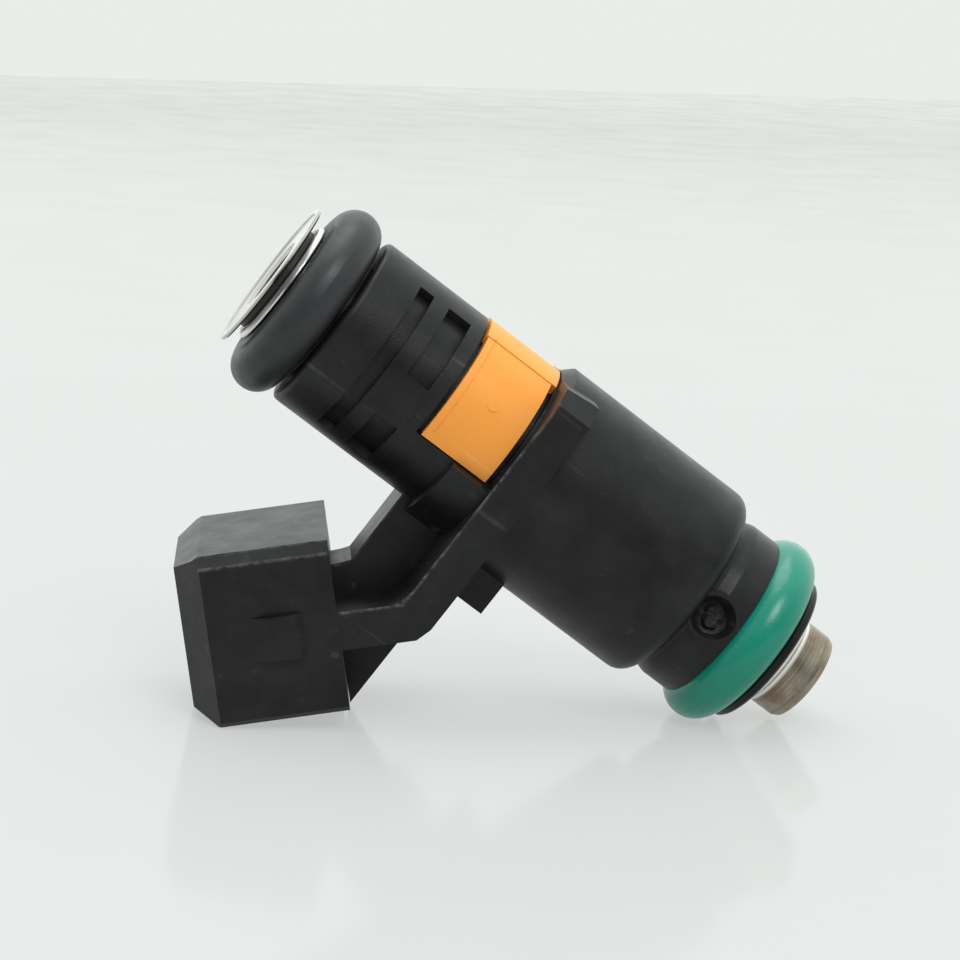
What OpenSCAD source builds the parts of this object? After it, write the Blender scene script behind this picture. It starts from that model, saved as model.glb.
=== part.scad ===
// Port fuel injector with an angled two-pin connector.
// Frame: the injector axis is Z and points to the fuel inlet, the origin is the
// centre of the lower O-ring, the connector arm leaves towards -X, and XZ is the
// plane of symmetry.  Millimetres.
// The connector is described in its own frame: "m" runs along the mating
// direction, "t" is square to it in the XZ plane, and both start at the origin.

/* [Seals] */
// Outside diameter of both O-rings
seal_od = 14.58; // [14.3:0.01:14.8]
// Section diameter of both O-rings
seal_section = 3.53; // [3.4:0.01:3.6]
// Distance between the two O-ring centres
seal_pitch = 38.0; // [37.9:0.1:39]

/* [Moulded body] */
// Radius of the upper body, between the inlet seal and the clip
upper_r = 6.57; // [6.5:0.01:6.7]
// Height of the upper body's end face
upper_top_z = 35.95; // [35.4:0.05:36]
// Radius of the main body around the coil
body_r = 7.49; // [7.45:0.01:7.5]
// Radius of the neck beside the lower O-ring
neck_r = 6.38; // [6.3:0.01:6.5]
// Height of the shoulder between neck and main body
shoulder_z = 4.85; // [4.7:0.05:5]
// Radius that rounds the shoulder
shoulder_round = 1.2; // [0.6:0.1:1.2]
// Depth of the pockets in the upper body
pocket_depth = 0.65; // [0.3:0.05:0.8]
// Radius of the round core mark in the neck
core_mark_r = 1.45; // [1.2:0.05:1.5]

/* [Arm] */
// Half width of the plate and of the connector
half_w = 7.55; // [7.55:0.01:7.7]
// Underside of the plate
plate_z = 18.57; // [18.4:0.01:18.7]
// Thickness of the plate
plate_h = 2.6; // [2.4:0.1:2.8]
// Top of the web that stands on the plate
web_top_z = 24.95; // [24.5:0.05:25]
// Half thickness of the web
web_half = 2.2; // [1.8:0.1:2.6]

/* [Connector] */
// Distance from the origin to the connector's back, along m
conn_back = 27.55; // [27.4:0.05:27.7]
// Distance from the origin to the connector's mouth, along m
conn_mouth = 38.03; // [37.5:0.01:38.5]
// Lower face of the connector, along t
conn_low = -0.03; // [-0.1:0.01:0.1]
// Height of the connector, along t
conn_h = 11.74; // [11.5:0.01:12]
// Distance between the two blades
blade_pitch = 5.0; // [4.9:0.1:5.1]
// Width of a blade
blade_w = 2.8; // [2.7:0.1:2.8]
// Thickness of a blade
blade_t = 0.8; // [0.7:0.1:0.8]

/* [Clip] */
// Half of the angle that the coloured clip wraps round
clip_half_angle = 106; // [100:1:108]
// Outer radius of the clip's crown
clip_r = 6.7; // [6.65:0.01:6.8]
// Lower edge of the clip's arms
clip_z = 21.68; // [21.6:0.01:21.7]
// Width of the clip's arms along the axis
clip_w = 5.36; // [5.2:0.01:5.4]

/* [Valve] */
// Lift of the needle
needle_lift = 0.1; // [0.06:0.01:0.1]
// Radius of the valve ball
ball_r = 1.6; // [1.5:0.05:1.6]
// Radius of the nozzle barrel
nozzle_r = 3.38; // [3.3:0.01:3.4]
// Height of the nozzle's end face
nozzle_z = -6.0; // [-6.1:0.01:-5.9]

/* [Hidden] */

round_fn = 96;
small_fn = 48;
gap = 0.02;                  // assembly gap between nested pieces
over = 1;                    // how far a cutter runs past the face it cuts
root2 = sqrt(2);

seal_ring_r = (seal_od - seal_section) / 2;

// Core tube and magnet, all round the axis
tube_r = 3.85;
tube_bore_r = 2.95;
pole_bore_r = 2.0;
tube_top_z = 40.35;
tube_lip_r = 4.6;
tube_lip_h = 0.75;
pole_z = 14.05;              // face that the armature pulls up to
pole_bore_top_z = 26;
shell_r = 4.25;
shell_bore_r = tube_r + gap;
shell_z = 9.6;
shell_top_z = 17.2;
can_r = 6.9;
can_wall = 0.55;
can_z = 7.2;
can_floor = 1.3;
can_top_z = 18.4;
bobbin_z = can_z + can_floor + gap;
bobbin_top_z = 17.6;
bobbin_flange = 0.7;
bobbin_barrel_r = 4.75;
washer_top_z = 18.36;
post_half_w = 3.4;           // half width of the washer's slot for the posts

// Valve
armature_r = 3.78;
armature_z = 8.9;
armature_top_z = pole_z - needle_lift - gap;
armature_seat_depth = 1.2;
spring_seat_r = 2.1;
needle_r = 1.5;
needle_bore_r = 1.0;
needle_top_z = 10.85;
ball_z = -3.15;
seat_top_z = -3.35;
seat_z = -5.2;
seat_r = 2.7;
orifice_t = 0.16;
spring_r = 1.55;             // mean radius of the spring
spring_wire_r = 0.2;
spring_turns = 7;
spring_top_z = 18.5;
spring_z = armature_top_z - armature_seat_depth;
sleeve_top_z = 25;

// Arm and connector outlines, in XZ and in the connector's frame
plate_top_z = plate_z + plate_h;
plate_x = 6.7;               // far end of the plate
sheet_low_t = 4.2;           // underside of the sloping part of the plate
sheet_top_t = 6.8;
web_top_t = 8.93;
bend_r = 3.0;
arm_end = conn_back + 0.6;   // the arm runs this far into the connector
cavity_half_w = 4.45;
cavity_low = 1.65;
cavity_top = 10.25;
cavity_floor = 29.4;
edge_bevel = 0.8;            // long upper edges of the connector
rim_m = conn_mouth - 1.77;   // where the bevels of the mouth begin
rim_half_w = 4.95;
rim_low = 1.08;
rim_top = 10.81;
blade_low = 4.55;
blade_end = 35.6;
lead_low_t = 4.6;
lead_top_t = 6.1;
lead_z = 19.1;
lead_top_z = 20.6;
post_x = -5.3;
post_w = 0.8;
post_foot_z = bobbin_top_z + gap;

// Point of the XZ plane at a distance m and t in the connector's frame
function mt(m, t) = [(t - m) / root2, (t + m) / root2];
// Where the slope at distance t crosses the height z
function slope_at(t, z) = [t * root2 - z, z];
// Points of an arc in the plane
function arc(c, r, from, to, n) =
    [for (i = [0 : n]) let (a = from + (to - from) * i / n) [c[0] + r * cos(a), c[1] + r * sin(a)]];

// An outline in XZ, made solid to both sides of the plane of symmetry
module slab(points, half) {
    rotate([90, 0, 0])
        translate([0, 0, -half])
            linear_extrude(2 * half)
                polygon(points);
}

// Local X becomes the t direction and local Z the mating direction m
module connector_frame() {
    rotate([0, -45, 0]) children();
}

// A wedge of space round the axis, from one angle to another
module sector(from, to, r) {
    steps = ceil(abs(to - from) / 30);
    linear_extrude(60)
        polygon(concat([[0, 0]], [for (i = [0 : steps])
            let (a = from + (to - from) * i / steps) [r * cos(a), r * sin(a)]]));
}

module ring(r_out, r_in, z, top) {
    translate([0, 0, z])
        difference() {
            cylinder(h = top - z, r = r_out, $fn = round_fn);
            translate([0, 0, -over]) cylinder(h = top - z + 2 * over, r = r_in, $fn = round_fn);
        }
}

// ---------------------------------------------------------------- moulded body

upper_pocket = [31.6, 32.75];            // heights between which the pockets lie
lower_pocket = [28.5, 30.35];
top_round = 0.4;
spigot_r = 4.6;                          // backs the upper O-ring
spigot_z = 36.4;
undercut_r = 6.1;
collar_top_z = 24.2;

module turned_body() {
    rotate_extrude($fn = round_fn)
        polygon(concat(
            [
                [shell_r + gap, 1.85],
                [5.9, 1.85],
                [neck_r, 1.62],
                [neck_r, 3.6],
                [neck_r - 0.08, 3.9],
                [undercut_r, 4.45],
                [undercut_r, shoulder_z]
            ],
            arc([body_r - shoulder_round, shoulder_z + shoulder_round], shoulder_round, -90, 0, 8),
            [
                [body_r, plate_top_z - 0.8],
                [body_r - 0.75, plate_top_z],
                [upper_r, plate_top_z]
            ],
            arc([upper_r - top_round, upper_top_z - top_round], top_round, 0, 90, 5),
            [
                [spigot_r, upper_top_z],
                [spigot_r, spigot_z],
                [shell_r + gap, spigot_z]
            ]
        ));
}

// Half round shoulder above the plate, on the arm's side
module root_collar() {
    intersection() {
        translate([0, 0, plate_z + 0.5])
            cylinder(h = collar_top_z - plate_z - 0.5, r = body_r - 0.05, $fn = round_fn);
        translate([-20, -20, 0]) cube([20 - 1.95, 40, 40]);
    }
}

// The flat plate round the body: its far end slopes, and its far corners are cut off
module plate() {
    near_cut = [5.4, -6.0];
    far_cut = [5.6, 3.0];
    intersection() {
        translate([0, 0, plate_z])
            linear_extrude(plate_h)
                polygon([
                    [-11, -half_w], [near_cut[0], -half_w], [plate_x, near_cut[1]],
                    [plate_x, far_cut[1]], [far_cut[0], half_w], [-11, half_w]
                ]);
        slab([
            [-12, 0], [plate_x, 0], [plate_x, plate_z + 0.5],
            [plate_x - 0.2, plate_top_z], [plate_x - 0.2, 30], [-12, 30]
        ], 9);
    }
}

// The plate's sloping end, bent up by 45 degrees towards the connector
module sheet() {
    inner = slope_at(sheet_top_t, plate_top_z);
    reach = bend_r * tan(22.5);
    slab(concat(
        [
            [-9, plate_z],
            [-9, plate_top_z]
        ],
        arc([inner[0] + reach, plate_top_z + bend_r], bend_r, -90, -135, 6),
        [
            mt(arm_end, sheet_top_t),
            mt(arm_end, sheet_low_t),
            slope_at(sheet_low_t, plate_z + 0.33),
            slope_at(sheet_low_t, plate_z) + [0.8, 0]
        ]), half_w);
}

module web() {
    outer = slope_at(web_top_t, web_top_z);
    slab([
        [-5, plate_z + 0.5],
        [-5, web_top_z],
        outer + [0.3, 0],
        outer + [-0.15, 0.3],
        mt(arm_end, web_top_t),
        mt(arm_end, sheet_low_t + 0.5),
        slope_at(sheet_low_t + 0.5, plate_z + 0.5)
    ], web_half);
}

// Triangular brace between the plate's underside and the connector's back
module gusset() {
    slab([
        [-11.5, plate_z + 0.5],
        [-12, plate_z + 0.03],
        mt(conn_back, -1.2),
        mt(conn_back, conn_low + 0.3),
        mt(arm_end, conn_low + 0.3),
        mt(arm_end, sheet_low_t + 0.5)
    ], 1.0);
}

// Small block under the plate
module tab() {
    translate([-9.7, -web_half, 15.5]) cube([4, 2 * web_half, plate_z - 15.5 + 0.5]);
}

module connector_shell() {
    top = conn_low + conn_h;
    connector_frame()
        intersection() {
            // cross-section, with the two upper edges bevelled
            translate([0, 0, conn_back])
                linear_extrude(conn_mouth - conn_back)
                    polygon([
                        [conn_low, -half_w + 0.35], [conn_low + 0.35, -half_w],
                        [top - edge_bevel, -half_w], [top, -half_w + edge_bevel],
                        [top, half_w - edge_bevel], [top - edge_bevel, half_w],
                        [conn_low + 0.35, half_w], [conn_low, half_w - 0.35]
                    ]);
            // bevels of the mouth seen from the side
            rotate([90, 0, 0])
                translate([0, 0, -10])
                    linear_extrude(20)
                        polygon([
                            [conn_low - over, conn_back], [top + over, conn_back],
                            [top + over, rim_m - 0.5], [top, rim_m],
                            [rim_top, conn_mouth], [rim_low, conn_mouth],
                            [conn_low, rim_m], [conn_low - over, rim_m - 0.5]
                        ]);
            // bevels of the mouth seen from above
            rotate([90, 0, 90])
                translate([0, 0, -5])
                    linear_extrude(25)
                        polygon([
                            [-half_w - over, conn_back], [half_w + over, conn_back],
                            [half_w + over, rim_m - 0.5], [half_w, rim_m],
                            [rim_half_w, conn_mouth], [-rim_half_w, conn_mouth],
                            [-half_w, rim_m], [-half_w - over, rim_m - 0.5]
                        ]);
        }
}

// Latch ramp on one side of the connector: it rises from the mouth's side
module latch_ramp(side) {
    base = half_w - 0.3;
    low_t = 4.2;
    top = half_w + 0.55;
    connector_frame()
        translate([low_t, 0, 0])
            rotate([90, 0, 90])
                linear_extrude(3.0)
                    polygon([
                        [side * base, 29.6], [side * top, 30.3],
                        [side * top, 32.2], [side * (half_w + 0.02), 33.3], [side * base, 33.3]
                    ]);
}

module cavity() {
    corner = 0.7;
    connector_frame()
        translate([0, 0, cavity_floor])
            linear_extrude(conn_mouth - cavity_floor + over)
                polygon([
                    [cavity_low, -cavity_half_w + corner], [cavity_low + corner, -cavity_half_w],
                    [cavity_top - corner, -cavity_half_w], [cavity_top, -cavity_half_w + corner],
                    [cavity_top, cavity_half_w - corner], [cavity_top - corner, cavity_half_w],
                    [cavity_low + corner, cavity_half_w], [cavity_low, cavity_half_w - corner]
                ]);
}

// A pocket round part of the upper body, the same on both sides
module pocket(heights, from, to) {
    for (side = [-1, 1])
        difference() {
            intersection() {
                translate([0, 0, heights[0]])
                    cylinder(h = heights[1] - heights[0], r = 9, $fn = round_fn);
                sector(side * from, side * to, 12);
            }
            cylinder(h = 60, r = upper_r - pocket_depth, $fn = round_fn);
        }
}

module upper_cuts() {
    pocket(upper_pocket, 29, 150);
    pocket(lower_pocket, 29, 83);
    pocket(lower_pocket, 112.5, 150);
}

// Seat of the coloured clip
clip_seat_r = 5.9;
module clip_seat() {
    difference() {
        intersection() {
            translate([0, 0, clip_z - 0.4]) cylinder(h = clip_w + 0.8, r = 9, $fn = round_fn);
            sector(-clip_half_angle - 1, clip_half_angle + 1, 14);
        }
        cylinder(h = 60, r = clip_seat_r, $fn = round_fn);
    }
}

// Round pin marks left by the mould
module mould_marks() {
    mark_m = 28.97;
    mark_t = 9.7;
    mark_r = 1.3;
    for (side = [-1, 1]) {
        connector_frame()
            translate([mark_t, side * (half_w + 0.46), mark_m])
                rotate([90, 0, 0]) cylinder(h = 1.0, r = mark_r, center = true, $fn = small_fn);
        rotate([0, 0, side * 100.5])
            translate([upper_r + 0.43, 0, 29.3])
                rotate([0, 90, 0]) cylinder(h = 1.0, r = 1.15, center = true, $fn = small_fn);
    }
}

// Round core mark in the neck: a recess inside a raised lip
core_mark_z = 3.6;
core_mark_x = 0.25;
core_depth = 1.1;
module core_lip() {
    for (side = [-1, 1])
        intersection() {
            translate([core_mark_x, side * neck_r, core_mark_z])
                rotate([90, 0, 0]) cylinder(h = 4, r = core_mark_r + 0.35, center = true, $fn = small_fn);
            ring(neck_r + 0.14, neck_r - 0.8, 1.7, 5.6);
        }
}

module core_recess() {
    for (side = [-1, 1])
        translate([core_mark_x, side * (neck_r - core_depth), core_mark_z])
            rotate([-90 * side, 0, 0])
                cylinder(h = core_depth + 0.3, r1 = 0.9, r2 = core_mark_r + 0.25, $fn = small_fn);
}

// Broken stub left on the floor of the core mark
module core_stub() {
    for (side = [-1, 1])
        translate([core_mark_x - 0.3, side * (neck_r - core_depth), core_mark_z]) {
            rotate([side * 72, 12, 0]) cylinder(h = 1.3, r = 0.5, center = true, $fn = small_fn);
            translate([-0.2, 0, -0.4])
                rotate([side * 105, 25, 0]) cylinder(h = 1.2, r = 0.35, center = true, $fn = small_fn);
            translate([0.45, 0, 0.35])
                rotate([side * 60, -35, 0]) cylinder(h = 1.0, r = 0.28, center = true, $fn = small_fn);
        }
}

// Everything inside the moulding, grown by the assembly gap
module core_space() {
    translate([0, 0, -over]) cylinder(h = can_z + over, r = shell_r + gap, $fn = round_fn);
    translate([0, 0, can_z - gap])
        cylinder(h = can_top_z - can_z + 2 * gap, r = can_r + gap, $fn = round_fn);
    cylinder(h = spigot_z + over, r = tube_r + gap, $fn = round_fn);
    for (side = [-1, 1]) terminal(side, gap);
}

module housing() {
    color([0.13, 0.13, 0.14])
        difference() {
            union() {
                difference() {
                    turned_body();
                    upper_cuts();
                    core_recess();
                }
                root_collar();
                plate();
                sheet();
                web();
                gusset();
                tab();
                connector_shell();
                latch_ramp(-1);
                latch_ramp(1);
                difference() {
                    core_lip();
                    core_recess();
                }
                core_stub();
            }
            clip_seat();
            cavity();
            mould_marks();
            core_space();
        }
}

module id_clip() {
    crown_angle = 28;
    line_z = clip_z + clip_w - 0.6;
    clip_bore_r = clip_seat_r + 0.04;
    color([0.98, 0.62, 0.22])
        difference() {
            union() {
                intersection() {
                    ring(clip_r, clip_bore_r, clip_z - 0.38, clip_z + clip_w + 0.15);
                    sector(-crown_angle, crown_angle, 14);
                }
                intersection() {
                    ring(clip_r - 0.07, clip_bore_r, clip_z, clip_z + clip_w);
                    sector(-clip_half_angle, clip_half_angle, 14);
                }
                // gate marks
                for (side = [-1, 1])
                    rotate([0, 0, side * 67])
                        translate([clip_r - 0.5, 0, clip_z + clip_w / 2])
                            rotate([0, 90, 0]) cylinder(h = 0.47, r = 0.4, $fn = small_fn);
            }
            // fine line beside the inlet edge
            intersection() {
                ring(9, clip_r - 0.11, line_z, line_z + 0.1);
                sector(-crown_angle + 1, -clip_half_angle + 6, 14);
            }
            intersection() {
                ring(9, clip_r - 0.11, line_z, line_z + 0.1);
                sector(crown_angle - 1, clip_half_angle - 6, 14);
            }
        }
}

// ----------------------------------------------------------------------- seals

module o_ring(z) {
    translate([0, 0, z])
        rotate_extrude($fn = round_fn)
            translate([seal_ring_r, 0]) circle(r = seal_section / 2, $fn = small_fn);
}

module upper_o_ring() {
    color([0.2, 0.2, 0.2]) o_ring(seal_pitch);
}

module lower_o_ring() {
    color([0.12, 0.55, 0.45]) o_ring(0);
}

retainer_z = -2.5;
retainer_top_z = -1.84;
land_r = 3.72;               // seat of the lower O-ring on the valve body

module o_ring_retainer() {
    color([0.1, 0.1, 0.1])
        rotate_extrude($fn = round_fn)
            polygon([
                [land_r + gap, retainer_z], [5.55, retainer_z], [5.71, retainer_z + 0.16],
                [5.71, retainer_top_z - 0.1], [5.61, retainer_top_z], [land_r + gap, retainer_top_z]
            ]);
}

// ---------------------------------------------------------------- inlet filter

flange_r = 5.5;
flange_z = 40.82;
flange_sleeve_r = 2.62;
flange_bore_r = 2.4;
flange_sleeve_z = 37.5;
flange_top_z = 41.1;

module filter_flange() {
    color([0.78, 0.77, 0.74])
        rotate_extrude($fn = round_fn)
            polygon([
                [flange_bore_r, flange_sleeve_z], [flange_sleeve_r, flange_sleeve_z],
                [flange_sleeve_r, flange_z], [flange_r - 0.12, flange_z], [flange_r, flange_z + 0.1],
                [flange_r, flange_top_z - 0.08], [flange_r - 0.1, flange_top_z],
                [5.1, flange_top_z], [4.95, flange_top_z - 0.12],
                [flange_bore_r + 0.3, flange_top_z - 0.12], [flange_bore_r, flange_top_z - 0.35]
            ]);
}

cage_r = 2.9;
cage_z = 31;
cage_bore_r = 2.35;

module filter_body() {
    color([0.16, 0.16, 0.16])
        difference() {
            rotate_extrude($fn = round_fn)
                polygon([
                    [0, cage_z], [cage_r - 0.4, cage_z], [cage_r, cage_z + 0.4],
                    [cage_r, tube_top_z + gap], [3.95, tube_top_z + gap], [3.95, flange_z - gap],
                    [flange_sleeve_r + gap, flange_z - gap], [flange_sleeve_r + gap, flange_sleeve_z - gap],
                    [cage_bore_r, flange_sleeve_z - gap], [cage_bore_r, cage_z + 0.7], [0, cage_z + 0.7]
                ]);
            for (a = [0 : 60 : 120])
                rotate([0, 0, a]) translate([-5, -0.85, cage_z + 1.4]) cube([10, 1.7, 6]);
        }
}

module filter_screen() {
    color([0.6, 0.6, 0.58])
        ring(cage_bore_r - gap, cage_bore_r - 0.2, cage_z + 0.75, flange_sleeve_z - 0.1);
}

// -------------------------------------------------------------- tube and magnet

module inlet_tube() {
    color([0.66, 0.66, 0.66])
        rotate_extrude($fn = round_fn)
            polygon([
                [pole_bore_r, pole_z], [tube_r, pole_z], [tube_r, spigot_z - 0.15], [land_r, spigot_z],
                [land_r, tube_top_z - tube_lip_h],
                [tube_lip_r - 0.15, tube_top_z - tube_lip_h + 0.12],
                [tube_lip_r, tube_top_z - tube_lip_h + 0.3], [tube_lip_r, tube_top_z - 0.35],
                [tube_lip_r - 0.13, tube_top_z - 0.1], [tube_lip_r - 0.35, tube_top_z],
                [tube_bore_r, tube_top_z], [tube_bore_r, pole_bore_top_z],
                [pole_bore_r, pole_bore_top_z - 1]
            ]);
}

module adjusting_sleeve() {
    color([0.7, 0.68, 0.62])
        difference() {
            ring(pole_bore_r - gap, 1.2, spring_top_z + gap, sleeve_top_z - 0.5);
            translate([0, -0.15, 0]) cube([5, 0.3, 60]);
        }
}

// Closed ring of points round the wire, at an angle along the coil
function wire_ring(a, z, sides) =
    [for (j = [0 : sides - 1]) let (b = 360 * j / sides)
        [(spring_r + spring_wire_r * cos(b)) * cos(a),
         (spring_r + spring_wire_r * cos(b)) * sin(a),
         z + spring_wire_r * sin(b)]];

module closing_spring() {
    sides = 8;
    per_turn = 16;
    steps = spring_turns * per_turn;
    low = spring_z + spring_wire_r + gap;
    rise = spring_top_z - spring_wire_r - gap - low;
    rings = [for (i = [0 : steps]) wire_ring(360 * i / per_turn, low + rise * i / steps, sides)];
    points = [for (r = rings) each r];
    skin = [for (i = [0 : steps - 1], j = [0 : sides - 1])
        let (a = i * sides + j, b = i * sides + (j + 1) % sides) [a, a + sides, b + sides, b]];
    first = [for (j = [0 : sides - 1]) j];
    last = [for (j = [sides - 1 : -1 : 0]) steps * sides + j];
    color([0.75, 0.75, 0.75]) polyhedron(points, concat(skin, [first, last]), convexity = 10);
}

module coil_housing() {
    color([0.5, 0.5, 0.5])
        difference() {
            ring(can_r, shell_r + gap, can_z, can_top_z);
            translate([0, 0, can_z + can_floor])
                cylinder(h = 30, r = can_r - can_wall, $fn = round_fn);
        }
}

module flux_washer() {
    color([0.55, 0.55, 0.55])
        difference() {
            ring(can_r - can_wall - gap, shell_bore_r, bobbin_top_z + gap, washer_top_z);
            translate([-10, -post_half_w, 0]) cube([5.6, 2 * post_half_w, 30]);
        }
}

module coil_bobbin() {
    flange = can_r - can_wall - 0.05;
    bore = shell_r + gap;
    color([0.75, 0.7, 0.55])
        rotate_extrude($fn = round_fn)
            polygon([
                [bore, bobbin_z], [flange, bobbin_z], [flange, bobbin_z + bobbin_flange],
                [bobbin_barrel_r, bobbin_z + bobbin_flange],
                [bobbin_barrel_r, bobbin_top_z - bobbin_flange],
                [flange, bobbin_top_z - bobbin_flange], [flange, bobbin_top_z], [bore, bobbin_top_z]
            ]);
}

module coil_winding() {
    color([0.72, 0.4, 0.2])
        ring(6.1, bobbin_barrel_r + gap, bobbin_z + bobbin_flange + gap, bobbin_top_z - bobbin_flange - gap);
}

// Outline of a terminal in XZ, grown by e on every side
function terminal_outline(e) = [
    [post_x - e, post_foot_z - e],
    [post_x + post_w + e, post_foot_z - e],
    [post_x + post_w + e, lead_top_z + e],
    slope_at(lead_top_t + e, lead_top_z + e),
    mt(28.4, lead_top_t + e),
    mt(28.4 - e, blade_low + blade_w + e),
    mt(blade_end - 0.8, blade_low + blade_w + e),
    mt(blade_end, blade_low + blade_w - 0.7),
    mt(blade_end, blade_low + 0.7),
    mt(blade_end - 0.8, blade_low - e),
    mt(28.4 - e, blade_low - e),
    mt(28.4 - e, lead_low_t - e),
    slope_at(lead_low_t - e, lead_z - e),
    [post_x - e, lead_z - e]
];

module terminal(side, e) {
    translate([0, side * blade_pitch / 2, 0]) slab(terminal_outline(e), blade_t / 2 + e);
}

module terminal_left() {
    color([0.8, 0.78, 0.72]) terminal(-1, 0);
}

module terminal_right() {
    color([0.8, 0.78, 0.72]) terminal(1, 0);
}

module nonmagnetic_shell() {
    color([0.72, 0.72, 0.74]) ring(shell_r, shell_bore_r, shell_z, shell_top_z);
}

// ----------------------------------------------------------------------- valve

module armature() {
    color([0.58, 0.58, 0.6])
        difference() {
            rotate_extrude($fn = round_fn)
                polygon([
                    [needle_r, armature_z], [armature_r - 0.2, armature_z], [armature_r, armature_z + 0.2],
                    [armature_r, armature_top_z - 0.1], [armature_r - 0.1, armature_top_z],
                    [spring_seat_r, armature_top_z], [spring_seat_r, spring_z], [1.0, spring_z],
                    [1.0, needle_top_z + gap], [needle_r + gap, needle_top_z + gap]
                ]);
            for (a = [0 : 90 : 270])
                rotate([0, 0, a]) translate([2.85, 0, armature_z - over])
                    cylinder(h = 7, r = 0.45, $fn = small_fn);
        }
}

module needle_tube() {
    color([0.76, 0.76, 0.76])
        difference() {
            ring(needle_r - gap, needle_bore_r, ball_z + sqrt(pow(ball_r, 2) - 1) + gap, needle_top_z);
            for (a = [0 : 90 : 90])
                rotate([0, 0, a]) translate([0, 0, 0.2])
                    rotate([0, 90, 0]) cylinder(h = 6, r = 0.45, center = true, $fn = small_fn);
        }
}

module valve_ball() {
    color([0.85, 0.85, 0.86]) translate([0, 0, ball_z]) sphere(r = ball_r, $fn = small_fn);
}

module valve_body() {
    bore_r = 2.4;
    collar_z = retainer_z - gap;         // swaged collar that holds the retainer
    color([0.6, 0.56, 0.5])
        rotate_extrude($fn = round_fn)
            polygon([
                [seat_r + gap, nozzle_z], [nozzle_r - 0.5, nozzle_z], [nozzle_r - 0.15, nozzle_z + 0.15],
                [nozzle_r, nozzle_z + 0.5], [nozzle_r, -3.75], [3.55, -3.4], [4.0, -3.1],
                [4.25, collar_z - 0.3], [4.25, collar_z], [land_r, collar_z],
                [land_r, 1.85 - gap], [shell_r, 1.85 - gap],
                [shell_r, shell_z - gap], [armature_r + 0.07, shell_z - gap], [armature_r + 0.07, 8.2],
                [bore_r, 8.2], [bore_r, -2.1], [seat_r + gap, -2.1]
            ]);
}

module ball_guide() {
    color([0.68, 0.68, 0.7])
        difference() {
            ring(seat_r, ball_r + 0.03, seat_top_z + gap, -2.2);
            for (a = [0 : 72 : 288])
                rotate([0, 0, a]) translate([2.15, 0, -4]) cylinder(h = 3, r = 0.3, $fn = small_fn);
        }
}

module valve_seat() {
    line_r = ball_r / root2 + 0.015;         // seat line on the 45 degree cone
    line_z = ball_z - ball_r / root2;
    orifice_r = 0.5;
    color([0.62, 0.62, 0.64])
        rotate_extrude($fn = round_fn)
            polygon([
                [orifice_r, seat_z], [seat_r, seat_z], [seat_r, seat_top_z],
                [line_r + seat_top_z - line_z, seat_top_z], [orifice_r, line_z - line_r + orifice_r]
            ]);
}

module orifice_disc() {
    color([0.7, 0.7, 0.7])
        difference() {
            translate([0, 0, seat_z - gap - orifice_t]) cylinder(h = orifice_t, r = seat_r, $fn = round_fn);
            for (a = [45 : 90 : 315])
                rotate([0, 0, a]) translate([0.28, 0, seat_z - 1]) cylinder(h = 2, r = 0.1, $fn = 24);
        }
}

module orifice_washer() {
    color([0.64, 0.64, 0.64]) ring(seat_r, 1.3, nozzle_z + 0.03, seat_z - orifice_t - 2 * gap);
}

housing();
id_clip();
upper_o_ring();
lower_o_ring();
o_ring_retainer();
filter_flange();
filter_body();
filter_screen();
inlet_tube();
adjusting_sleeve();
closing_spring();
coil_housing();
flux_washer();
coil_bobbin();
coil_winding();
terminal_left();
terminal_right();
nonmagnetic_shell();
armature();
needle_tube();
valve_ball();
valve_body();
ball_guide();
valve_seat();
orifice_disc();
orifice_washer();
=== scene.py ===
"""Looks of the fuel injector: studio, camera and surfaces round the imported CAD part. Metres, row frame."""

import math

import bpy
from mathutils import Matrix, Vector

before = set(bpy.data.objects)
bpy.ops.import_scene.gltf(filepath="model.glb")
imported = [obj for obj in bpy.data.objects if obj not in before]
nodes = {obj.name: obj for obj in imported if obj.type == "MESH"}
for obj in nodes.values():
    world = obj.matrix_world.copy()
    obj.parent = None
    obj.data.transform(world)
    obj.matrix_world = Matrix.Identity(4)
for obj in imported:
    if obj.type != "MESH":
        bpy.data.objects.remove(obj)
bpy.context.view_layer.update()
scene = bpy.context.scene


# ---------------------------------------------------------------- node helpers

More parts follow.
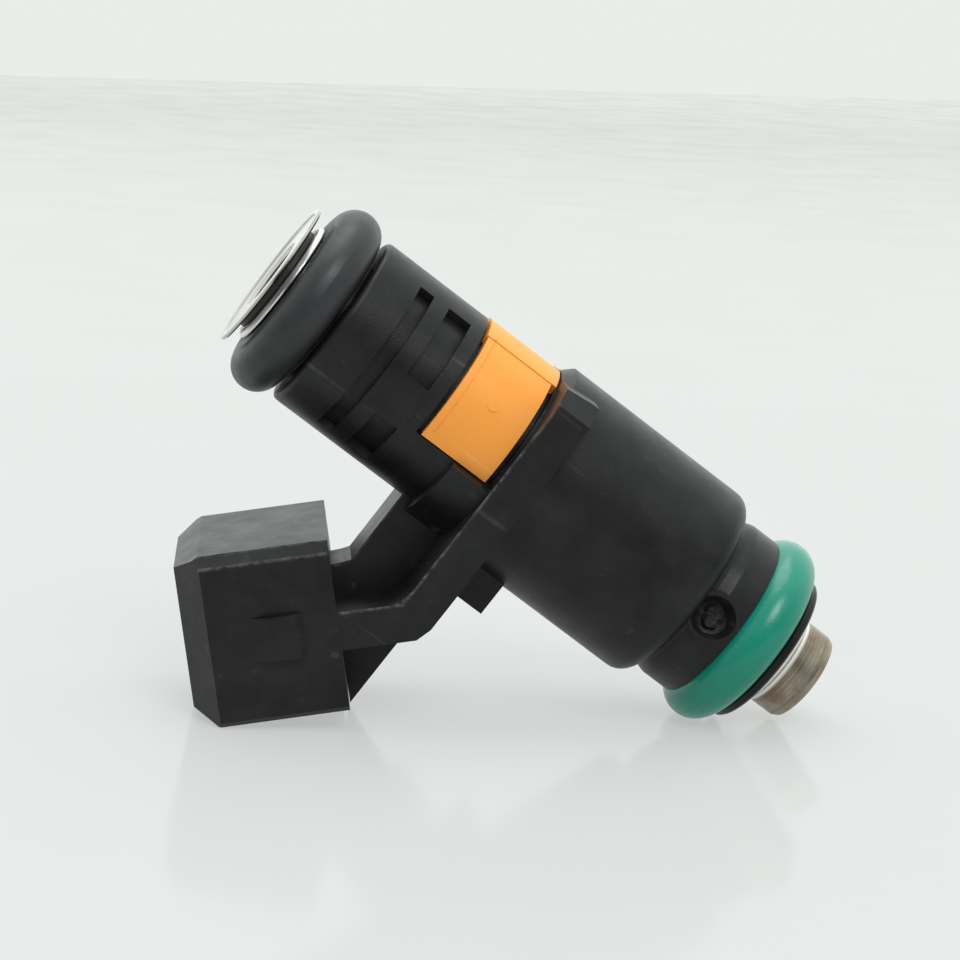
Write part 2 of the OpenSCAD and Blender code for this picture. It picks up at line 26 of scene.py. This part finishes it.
class Surface:
    """A procedural material, built up from a Principled shader in the row's coordinates."""

    def __init__(self, name):
        self.mat = bpy.data.materials.new(name)
        self.mat.use_nodes = True
        self.tree = self.mat.node_tree
        self.shader = self.tree.nodes["Principled BSDF"]
        self.coord = self.tree.nodes.new("ShaderNodeTexCoord").outputs["Object"]

    def node(self, kind, **values):
        n = self.tree.nodes.new(kind)
        for key, value in values.items():
            setattr(n, key, value)
        return n

    def link(self, out, into):
        self.tree.links.new(out, into)

    def set(self, **values):
        for key, value in values.items():
            self.shader.inputs[key.replace("_", " ")].default_value = value

    def moved(self, scale, rotation=(0, 0, 0)):
        n = self.node("ShaderNodeMapping")
        self.link(self.coord, n.inputs["Vector"])
        n.inputs["Scale"].default_value = scale
        n.inputs["Rotation"].default_value = rotation
        return n.outputs["Vector"]

    def noise(self, scale, detail=3.0, rough=0.5, vector=None):
        n = self.node("ShaderNodeTexNoise")
        self.link(vector or self.coord, n.inputs["Vector"])
        n.inputs["Scale"].default_value = scale
        n.inputs["Detail"].default_value = detail
        n.inputs["Roughness"].default_value = rough
        return n.outputs["Fac"]

    def cells(self, scale):
        n = self.node("ShaderNodeTexVoronoi")
        self.link(self.coord, n.inputs["Vector"])
        n.inputs["Scale"].default_value = scale
        return n.outputs["Distance"]

    def ramp(self, fac, low, high, a=0.0, b=1.0):
        n = self.node("ShaderNodeMapRange", clamp=True)
        self.link(fac, n.inputs["Value"])
        for key, value in (("From Min", low), ("From Max", high), ("To Min", a), ("To Max", b)):
            n.inputs[key].default_value = value
        return n.outputs["Result"]

    def math(self, op, a, b=0.0, clamp=False):
        n = self.node("ShaderNodeMath", operation=op, use_clamp=clamp)
        for i, value in enumerate((a, b)):
            if isinstance(value, (int, float)):
                n.inputs[i].default_value = value
            else:
                self.link(value, n.inputs[i])
        return n.outputs[0]

    def mix(self, fac, a, b):
        n = self.node("ShaderNodeMix", data_type="RGBA")
        self.link(fac, n.inputs["Factor"])
        for slot, value in (("A", a), ("B", b)):
            socket = [s for s in n.inputs if s.name == slot and s.type == "RGBA"][0]
            if isinstance(value, tuple):
                socket.default_value = value + (1,)
            else:
                self.link(value, socket)
        return [s for s in n.outputs if s.type == "RGBA"][0]

    def color(self, out):
        self.link(out, self.shader.inputs["Base Color"])

    def rough(self, out):
        self.link(out, self.shader.inputs["Roughness"])

    def bump(self, height, distance, strength=1.0):
        n = self.node("ShaderNodeBump")
        n.inputs["Distance"].default_value = distance
        n.inputs["Strength"].default_value = strength
        self.link(height, n.inputs["Height"])
        self.link(n.outputs["Normal"], self.shader.inputs["Normal"])

    def axis_parts(self):
        n = self.node("ShaderNodeSeparateXYZ")
        self.link(self.coord, n.inputs[0])
        return n.outputs


# Edges of the moulding painted with pale lines, part wear and part painted highlight, in millimetres:
# heights along Z, distances t square to the mating direction, and half widths
PLATE_EDGE = {"top": 21.17, "t": 6.8, "half": 7.55, "reach": 0.22}
WEB_EDGE = {"top": 24.95, "t": 8.93, "half": 2.2, "reach": 0.2}
CONNECTOR_EDGES = ((10.91, 7.55), (11.71, 6.75))
CONNECTOR_REACH = 0.16
CORE_MARK_Z = 3.5


def worn_highlit_edges_and_core_mark(s):
    """Pale lines along the arm's and connector's edges, part wear and part painted highlight, and the rough
    floor of the neck's core mark.
    """
    x, y, z = (s.math("MULTIPLY", part, 1000.0) for part in s.axis_parts())
    width = s.math("ABSOLUTE", y)
    slope = s.math("MULTIPLY", s.math("ADD", x, z), math.sqrt(0.5))
    patchy = s.ramp(s.noise(1400, 4, 0.7), 0.38, 0.62)

    def line(surface, half, reach):
        aside = s.math("ABSOLUTE", s.math("SUBTRACT", width, half))
        return s.ramp(s.math("MAXIMUM", s.math("ABSOLUTE", surface), aside), reach, 0.2 * reach)

    def arm_line(top, t, half, reach):
        return line(s.math("MINIMUM", s.math("SUBTRACT", z, top), s.math("SUBTRACT", slope, t)), half, reach)

    def connector_line(t, half):
        return line(s.math("SUBTRACT", slope, t), half, CONNECTOR_REACH)

    along = s.math("MULTIPLY", s.math("SUBTRACT", z, x), math.sqrt(0.5))
    arm = s.math("MAXIMUM", arm_line(**PLATE_EDGE), s.math("MULTIPLY", arm_line(**WEB_EDGE), 0.6))
    arm = s.math("MULTIPLY", arm, s.ramp(along, 27.5, 27.3))
    connector = s.math("MAXIMUM", *(connector_line(t, half) for t, half in CONNECTOR_EDGES))
    connector = s.math("MULTIPLY", connector, s.ramp(along, 27.45, 27.6, 0.0, 0.6))
    # Painted highlight mixed with wear: pale lines along the plate, web and connector edges
    worn_highlit_edges = s.math("MULTIPLY", s.math("MAXIMUM", arm, connector), patchy)
    span = s.math("SQRT", s.math("ADD", s.math("POWER", x, 2.0),
                                 s.math("POWER", s.math("SUBTRACT", z, CORE_MARK_Z), 2.0)))
    broken = s.math("MULTIPLY", s.ramp(span, 1.15, 0.85), s.ramp(width, 5.95, 5.8))
    return worn_highlit_edges, broken


def plastic(name, base, light, rough=(0.42, 0.6), grain=0.000012, marks_of=None, shine=0.5):
    """Moulded plastic: fine grain, paler scuffs, hairline scratches and specks of dust."""
    s = Surface(name)
    s.set(Specular_IOR_Level=shine)
    cloud = s.noise(260, 4, 0.6)
    scratch = s.noise(900, 2, 0.5, s.moved((1, 1, 0.03), (0.5, 0.3, 0.2)))
    cross = s.noise(700, 2, 0.5, s.moved((1, 0.04, 1), (0.2, 0.5, 1.1)))
    marks = s.math("MULTIPLY", s.ramp(scratch, 0.66, 0.74), s.ramp(cloud, 0.45, 0.7))
    marks = s.math("MAXIMUM", marks, s.math("MULTIPLY", s.ramp(cross, 0.67, 0.75), s.ramp(cloud, 0.5, 0.72)))
    dust = s.math("MULTIPLY", s.ramp(s.cells(1900), 0.09, 0.04), s.ramp(s.noise(330, 2), 0.54, 0.68))
    wear_and_edge_highlight = s.math("MAXIMUM", s.math("MULTIPLY", marks, 0.6), s.math("MULTIPLY", dust, 0.5), True)
    height = s.math("SUBTRACT", s.noise(9000, 2, 0.6), s.math("MULTIPLY", marks, 1.2))
    # The housing's pale edge lines are part wear, part painted highlight
    if marks_of:
        worn_highlit_edges, broken = marks_of(s)
        wear_and_edge_highlight = s.math("MAXIMUM", wear_and_edge_highlight, worn_highlit_edges)
        crumb = s.noise(2600, 5, 0.75)
        wear_and_edge_highlight = s.math("MAXIMUM", wear_and_edge_highlight, s.math("MULTIPLY", broken, s.ramp(crumb, 0.42, 0.7, 0.0, 0.8)))
        height = s.math("ADD", height, s.math("MULTIPLY", s.math("MULTIPLY", broken, crumb), 18.0))
    tone = s.mix(s.ramp(cloud, 0.3, 0.75), base, tuple(0.88 * p + 0.12 * q for p, q in zip(base, light)))
    s.color(s.mix(wear_and_edge_highlight, tone, light))
    s.rough(s.ramp(s.noise(420, 5, 0.65), 0.3, 0.7, *rough))
    s.bump(height, grain)
    return s


def rubber(name, base, light, rough, shine=0.5):
    """Moulded elastomer: soft sheen, faint flow marks and a little dust."""
    s = Surface(name)
    s.set(Specular_IOR_Level=shine)
    cloud = s.noise(300, 4, 0.6)
    dust = s.math("MULTIPLY", s.ramp(s.cells(1800), 0.14, 0.05), s.ramp(s.noise(300, 2), 0.55, 0.7))
    tone = s.mix(s.ramp(cloud, 0.3, 0.7), base, tuple(0.7 * p + 0.3 * q for p, q in zip(base, light)))
    s.color(s.mix(s.math("MULTIPLY", dust, 0.6), tone, light))
    s.rough(s.ramp(s.noise(700, 4, 0.6), 0.3, 0.7, *rough))
    s.bump(s.noise(5000, 3, 0.6), 0.000012)
    return s


def metal(name, base, dark, rough, lines="ring", bump=0.000006, stain=None, clean_above=None):
    """Machined metal: turning lines round the axis or drawn along it, and a little tarnish."""
    s = Surface(name)
    s.set(Metallic=1.0)
    stretch = (0.02, 0.02, 1.0) if lines == "ring" else (1.0, 1.0, 0.02)
    if lines == "cross":
        stretch = (1.0, 0.05, 1.0)
    turned = s.noise(7000, 3, 0.6, s.moved(stretch))
    cloud = s.noise(350, 4, 0.6)
    tone = s.mix(s.ramp(turned, 0.3, 0.7), dark, base)
    tone = s.mix(s.ramp(cloud, 0.45, 0.75, 0.0, 0.5), tone, dark)
    if stain:
        tone = s.mix(s.ramp(s.noise(500, 4, 0.7), 0.4, 0.68), tone, stain)
    if clean_above:
        height = s.axis_parts()[2]
        tone = s.mix(s.ramp(height, clean_above, clean_above + 0.00025), tone, (0.9, 0.88, 0.84))
    s.color(tone)
    s.rough(s.ramp(turned, 0.3, 0.7, *rough))
    s.bump(turned, bump)
    return s


COLLAR_Z = -0.00375              # the nozzle is bright and clean above this height

SURFACES = {
    "housing": plastic("black_plastic", (0.004, 0.004, 0.005), (0.12, 0.12, 0.12), (0.32, 0.45), 0.000012,
                       worn_highlit_edges_and_core_mark, 0.27),
    "id_clip": plastic("orange_plastic", (0.95, 0.35, 0.045), (1.0, 0.5, 0.16), (0.36, 0.48), 0.000008,
                       shine=0.35),
    "upper_o_ring": rubber("black_rubber", (0.016, 0.017, 0.019), (0.07, 0.075, 0.08), (0.36, 0.48), 0.38),
    "lower_o_ring": rubber("green_rubber", (0.0, 0.225, 0.15), (0.03, 0.32, 0.23), (0.2, 0.3), 0.42),
    "o_ring_retainer": plastic("rim_plastic", (0.005, 0.005, 0.006), (0.07, 0.07, 0.07), (0.3, 0.42),
                               shine=0.25),
    "filter_flange": metal("polished_steel", (0.56, 0.55, 0.52), (0.38, 0.37, 0.35), (0.12, 0.22)),
    "filter_body": plastic("filter_plastic", (0.02, 0.02, 0.02), (0.1, 0.1, 0.1), (0.4, 0.55)),
    "filter_screen": metal("screen_steel", (0.6, 0.6, 0.58), (0.2, 0.2, 0.2), (0.35, 0.5), "cross", 0.00002),
    "inlet_tube": metal("tube_steel", (0.93, 0.92, 0.9), (0.8, 0.79, 0.76), (0.2, 0.34)),
    "adjusting_sleeve": metal("sleeve_brass", (0.8, 0.62, 0.32), (0.6, 0.45, 0.22), (0.25, 0.4)),
    "closing_spring": metal("spring_steel", (0.75, 0.75, 0.75), (0.5, 0.5, 0.5), (0.2, 0.3), "drawn"),
    "coil_housing": metal("can_steel", (0.5, 0.5, 0.5), (0.35, 0.34, 0.33), (0.35, 0.5)),
    "flux_washer": metal("washer_steel", (0.5, 0.5, 0.5), (0.36, 0.35, 0.34), (0.35, 0.5), "cross"),
    "coil_bobbin": plastic("bobbin_plastic", (0.5, 0.44, 0.28), (0.62, 0.56, 0.4), (0.4, 0.55)),
    "coil_winding": metal("copper_wire", (0.75, 0.3, 0.13), (0.35, 0.1, 0.04), (0.25, 0.4), "ring", 0.00003),
    "terminal_left": metal("tinned_left", (0.78, 0.77, 0.73), (0.6, 0.58, 0.54), (0.25, 0.38), "cross"),
    "terminal_right": metal("tinned_right", (0.78, 0.77, 0.73), (0.6, 0.58, 0.54), (0.25, 0.38), "cross"),
    "nonmagnetic_shell": metal("shell_steel", (0.72, 0.72, 0.74), (0.55, 0.55, 0.56), (0.25, 0.4), "drawn"),
    "armature": metal("armature_steel", (0.58, 0.58, 0.6), (0.42, 0.42, 0.43), (0.3, 0.45)),
    "needle_tube": metal("needle_steel", (0.76, 0.76, 0.76), (0.6, 0.6, 0.6), (0.2, 0.35), "drawn"),
    "valve_ball": metal("ball_steel", (0.86, 0.86, 0.87), (0.78, 0.78, 0.79), (0.06, 0.12)),
    "valve_body": metal("nozzle_steel", (0.42, 0.38, 0.31), (0.17, 0.14, 0.1), (0.24, 0.38), "ring",
                        0.00001, (0.2, 0.14, 0.09), COLLAR_Z),
    "ball_guide": metal("guide_steel", (0.68, 0.68, 0.7), (0.5, 0.5, 0.52), (0.25, 0.4)),
    "valve_seat": metal("seat_steel", (0.62, 0.62, 0.64), (0.45, 0.45, 0.46), (0.2, 0.3)),
    "orifice_disc": metal("disc_steel", (0.6, 0.57, 0.52), (0.4, 0.36, 0.3), (0.3, 0.45), "cross"),
    "orifice_washer": metal("backing_steel", (0.55, 0.52, 0.48), (0.35, 0.3, 0.25), (0.3, 0.45)),
}
for name, surface in SURFACES.items():
    mesh = nodes[name].data
    if not mesh.materials:
        mesh.materials.append(None)
    for i in range(len(mesh.materials)):
        mesh.materials[i] = surface.mat

# ------------------------------------------------------------------ soft edges

EDGES = {"housing": 0.00012, "id_clip": 0.00006, "valve_body": 0.00006, "filter_flange": 0.00003}
for name, width in EDGES.items():
    bevel = nodes[name].modifiers.new("soft_edges", "BEVEL")
    bevel.width = width
    bevel.segments = 2
    bevel.limit_method = "ANGLE"
    bevel.angle_limit = math.radians(32)
    bevel.use_clamp_overlap = True
    bevel.harden_normals = True

# ---------------------------------------------------------------------- studio

RIGHT = Vector((0.61406, -0.06759, -0.78636))
DOWN = Vector((-0.78179, -0.18884, -0.59426))
FORWARD = Vector((-0.10833, 0.97968, -0.16880))
EYE = Vector((0.019602, -0.200699, 0.055526))
HALF_WIDTH = 0.161471            # of the view, at a distance of one

camera = bpy.data.objects.new("camera", bpy.data.cameras.new("camera"))
scene.collection.objects.link(camera)
camera.data.sensor_fit = "HORIZONTAL"
camera.data.angle = 2 * math.atan(HALF_WIDTH)
camera.data.clip_start = 0.01
camera.data.clip_end = 20
camera.matrix_world = Matrix.Translation(EYE) @ Matrix((RIGHT, -DOWN, -FORWARD)).transposed().to_4x4()
scene.camera = camera

# The part lies on a pale table, resting on the connector's edge and the lower O-ring
REST = math.radians(35.07)
UP = Vector((math.cos(REST), 0, math.sin(REST)))
SEAL_RING, SEAL_WIRE = 0.005525, 0.001765
CLEARANCE = 0.00003
TABLE = -(SEAL_RING * UP.x + SEAL_WIRE) - CLEARANCE
AWAY = (FORWARD - FORWARD.dot(UP) * UP).normalized()
ACROSS = AWAY.cross(UP).normalized()


def studio_place(across, away, up):
    """A point given by its distances across the view, away from the camera and above the table."""
    return ACROSS * across + AWAY * away + UP * (TABLE + up)


def sheet(name, corners, material):
    mesh = bpy.data.meshes.new(name)
    mesh.from_pydata([tuple(c) for c in corners], [], [tuple(range(len(corners)))])
    obj = bpy.data.objects.new(name, mesh)
    scene.collection.objects.link(obj)
    mesh.materials.append(material)
    return obj


def table_material():
    s = Surface("table")
    haze = s.noise(25, 3, 0.5)
    s.color(s.mix(s.ramp(haze, 0.3, 0.7), (0.19, 0.194, 0.191), (0.197, 0.2, 0.198)))
    s.rough(s.ramp(s.noise(60, 3, 0.5), 0.3, 0.7, 0.09, 0.14))
    s.set(IOR=1.09, Emission_Color=(0.98, 1.0, 0.985, 1))
    away = s.node("ShaderNodeVectorMath", operation="DOT_PRODUCT")
    s.link(s.coord, away.inputs[0])
    away.inputs[1].default_value = AWAY
    # Painted light: the table glows, most on the near side and under the part to lift its contact shadow,
    # less further away to even out its brightness
    painted_table_glow = s.math("ADD", s.ramp(away.outputs["Value"], -0.1, 0.12, 0.53, 0.36),
                  s.ramp(away.outputs["Value"], 0.12, 0.6, 0.0, -0.34))
    s.link(painted_table_glow, s.shader.inputs["Emission Strength"])
    back = s.node("ShaderNodeNewGeometry").outputs["Backfacing"]
    clear = s.node("ShaderNodeBsdfTransparent")
    both = s.node("ShaderNodeMixShader")
    s.link(back, both.inputs[0])
    s.link(s.shader.outputs[0], both.inputs[1])
    s.link(clear.outputs[0], both.inputs[2])
    s.link(both.outputs[0], s.tree.nodes["Material Output"].inputs["Surface"])
    return s.mat


sheet("table", [studio_place(-0.8, -0.45, 0), studio_place(0.8, -0.45, 0),
                studio_place(0.8, 1.14, 0), studio_place(-0.8, 0.42, 0)], table_material())

world = bpy.data.worlds.new("studio")
scene.world = world
world.use_nodes = True
sky = world.node_tree
background = sky.nodes["Background"]
facing = sky.nodes.new("ShaderNodeVectorMath")
facing.operation = "DOT_PRODUCT"
sky.links.new(sky.nodes.new("ShaderNodeTexCoord").outputs["Generated"], facing.inputs[0])
facing.inputs[1].default_value = (0.6 * UP + 0.8 * FORWARD).normalized()
fade = sky.nodes.new("ShaderNodeMapRange")
fade.inputs["From Min"].default_value = -0.8
fade.inputs["From Max"].default_value = 0.5
fade.inputs["To Min"].default_value = 0.12
fade.inputs["To Max"].default_value = 1.25
sky.links.new(facing.outputs["Value"], fade.inputs["Value"])
seen = sky.nodes.new("ShaderNodeMix")
sky.links.new(sky.nodes.new("ShaderNodeLightPath").outputs["Is Camera Ray"], seen.inputs["Factor"])
sky.links.new(fade.outputs["Result"], seen.inputs[2])
seen.inputs[3].default_value = 0.84
sky.links.new(seen.outputs[0], background.inputs["Strength"])
background.inputs["Color"].default_value = (0.965, 1.01, 0.98, 1)


def softbox(name, place, target, size, power):
    light = bpy.data.lights.new(name, "AREA")
    light.shape = "RECTANGLE"
    light.size, light.size_y = size
    light.energy = power
    obj = bpy.data.objects.new(name, light)
    scene.collection.objects.link(obj)
    obj.location = place
    obj.rotation_euler = (target - place).to_track_quat("-Z", "Y").to_euler()
    return obj


middle = Vector((-0.006, 0, 0.018))
softbox("key", studio_place(0.24, -0.64, 0.76), middle, (0.42, 0.42), 4.0)
softbox("top", studio_place(-0.1, 0.3, 1.0), middle, (0.8, 0.6), 3.6)

scene.view_settings.view_transform = "Standard"
